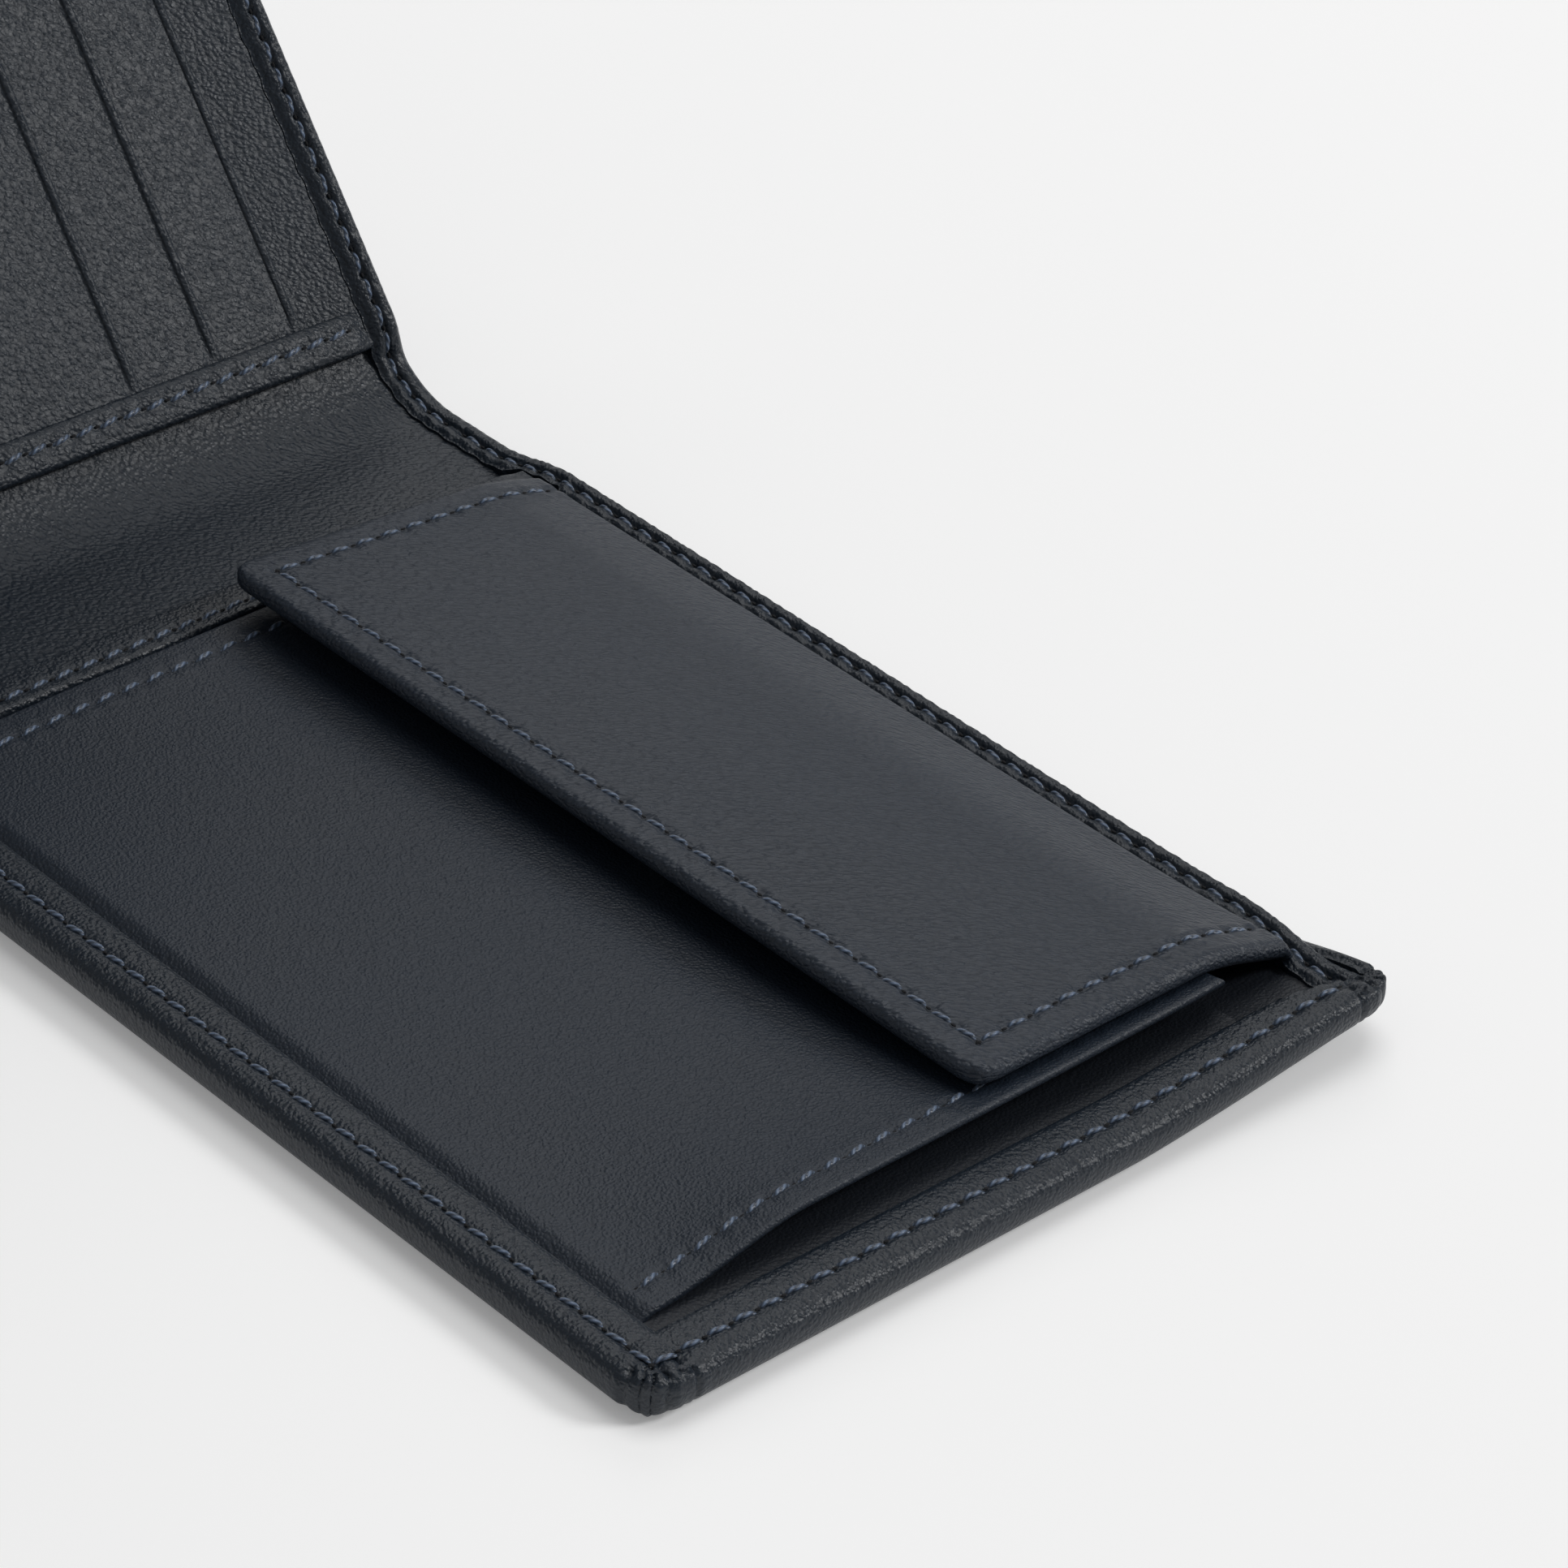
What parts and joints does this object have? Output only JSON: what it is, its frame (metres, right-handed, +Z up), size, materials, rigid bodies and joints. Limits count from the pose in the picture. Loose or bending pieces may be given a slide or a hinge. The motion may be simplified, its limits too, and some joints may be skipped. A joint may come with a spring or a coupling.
{
  "type": "trifold wallet",
  "caption": "Open leather wallet: a coin leaf with a snap flap, a wide spine and card-slot leaves that lean up and fold over it.",
  "frame": {"origin": "middle of the coin leaf's flat underside, on the surface the wallet rests on", "axes": "+X from the spine across the coin leaf to its outer edge, +Y from the lower edge to the top edge where the flap is hinged, +Z up out of the coin leaf"},
  "size_m": [0.2247, 0.095, 0.1852],
  "materials": {
    "outer_leather": "satin, fine pebble grain",
    "inner_leather": "satin, fine pebble grain",
    "gusset_leather": "satin, thin skived leather",
    "stiffener": "matt bonded leather board",
    "lining": "fine plain weave",
    "thread": "twisted bonded thread, slight sheen",
    "snap_metal": "satin nickel"
  },
  "bodies": {
    "coin_leaf": {"coin_leaf_shell": "outer_leather", "coin_leaf_board": "stiffener", "coin_leaf_bill_lining": "lining", "coin_pocket_back": "inner_leather", "coin_leaf_top_border": "inner_leather", "coin_gusset_left": "gusset_leather", "coin_gusset_right": "gusset_leather", "coin_leaf_border_thread": "thread", "coin_leaf_top_thread": "thread", "coin_gusset_thread": "thread"},
    "coin_pocket_front": {"coin_pocket_front": "inner_leather", "coin_pocket_front_lining": "lining", "coin_pocket_front_thread": "thread", "snap_stud": "snap_metal", "snap_stud_post": "snap_metal"},
    "coin_flap": {"coin_flap_leather": "inner_leather", "coin_flap_board": "stiffener", "coin_flap_lining": "inner_leather", "coin_flap_thread": "thread", "snap_socket": "snap_metal", "snap_cap": "snap_metal"},
    "spine": {"spine_shell": "outer_leather", "spine_inner_leather": "inner_leather", "spine_top_hem": "inner_leather", "spine_thread": "thread"},
    "card_leaf": {"card_leaf_shell": "outer_leather", "card_leaf_board": "stiffener", "card_leaf_bill_lining": "lining", "card_leaf_back_panel": "inner_leather", "card_leaf_top_hem": "inner_leather", "card_slot_upper": "inner_leather", "card_slot_middle": "inner_leather", "card_slot_lower": "inner_leather", "card_panel_edges": "inner_leather", "card_leaf_border_thread": "thread", "card_panel_thread": "thread"},
    "wing_fold": {"wing_fold_shell": "outer_leather", "wing_fold_inner_leather": "inner_leather"},
    "wing": {"wing_shell": "outer_leather", "wing_board": "stiffener", "wing_back_panel": "inner_leather", "wing_slot_upper": "inner_leather", "wing_slot_middle": "inner_leather", "wing_slot_lower": "inner_leather", "wing_panel_edge": "inner_leather", "wing_border_thread": "thread", "wing_panel_thread": "thread"}
  },
  "joints": [
    {"name": "spine_fold_coin_side", "type": "hinge", "parent": "coin_leaf", "child": "spine", "pos_m": [-0.0635, 0, 0.0012], "axis": [0, 1, 0], "range_deg": [0, 90]},
    {"name": "spine_fold_card_side", "type": "hinge", "parent": "spine", "child": "card_leaf", "pos_m": [-0.0831, 0, 0.0012], "axis": [0, 1, 0], "range_deg": [-50, 40]},
    {"name": "wing_fold_card_side", "type": "hinge", "parent": "card_leaf", "child": "wing_fold", "pos_m": [-0.16152, 0, 0.09466], "axis": [0, 1, 0], "range_deg": [-40, 50]},
    {"name": "wing_fold_wing_side", "type": "hinge", "parent": "wing_fold", "child": "wing", "pos_m": [-0.16152, 0, 0.10166], "axis": [0, 1, 0], "range_deg": [-40, 50]},
    {"name": "coin_flap_hinge", "type": "hinge", "parent": "coin_leaf", "child": "coin_flap", "pos_m": [0, 0.0428, 0.0049], "axis": [-1, 0, 0], "range_deg": [-2.2, 150]},
    {"name": "coin_pocket_mouth", "type": "hinge", "parent": "coin_leaf", "child": "coin_pocket_front", "pos_m": [0, -0.0403, 0.0032], "axis": [1, 0, 0], "range_deg": [-0.1, 5.1]}
  ],
  "couplings": [
    {"joint": "coin_pocket_mouth", "follows": "coin_flap_hinge", "ratio": 0.0333}
  ]
}
